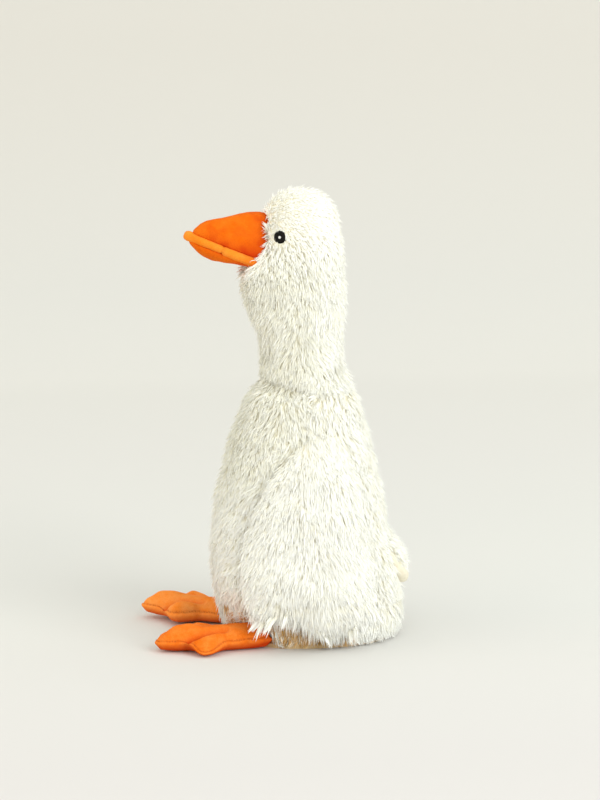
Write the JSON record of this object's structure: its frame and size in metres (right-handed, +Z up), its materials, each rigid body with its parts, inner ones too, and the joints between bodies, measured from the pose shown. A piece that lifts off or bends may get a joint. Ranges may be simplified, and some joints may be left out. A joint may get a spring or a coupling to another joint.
{
  "type": "plush goose",
  "caption": "Seated stuffed goose in white long-pile fabric, with a long neck, hanging wings, a small tail, an orange suede-cloth beak and webbed feet, and embroidered eyes.",
  "frame": {"origin": "on the floor, under the centre of the goose's bounding box", "axes": "+Z up, -Y the way the goose faces, +X the goose's left side"},
  "size_m": [0.153, 0.1956, 0.33],
  "materials": {
    "white_pile": "long shaggy pile, matte",
    "cream_lining": "short velour, matte",
    "orange_suede": "brushed suede cloth, matte with a soft sheen",
    "black_thread": "satin-stitched thread",
    "white_thread": "satin-stitched thread"
  },
  "bodies": {
    "root": {"torso": "white_pile", "base_panel": "white_pile", "neck": "white_pile", "head": "white_pile", "wing_left": "white_pile", "wing_right": "white_pile", "tail_top": "white_pile", "tail_lining": "cream_lining", "beak_upper": "orange_suede", "beak_lip": "orange_suede", "beak_lower": "orange_suede", "eye_left": "black_thread", "eye_right": "black_thread", "eye_glint_left": "white_thread", "eye_glint_right": "white_thread", "foot_left_upper": "orange_suede", "foot_left_sole": "orange_suede", "foot_right_upper": "orange_suede", "foot_right_sole": "orange_suede"}
  },
  "joints": []
}
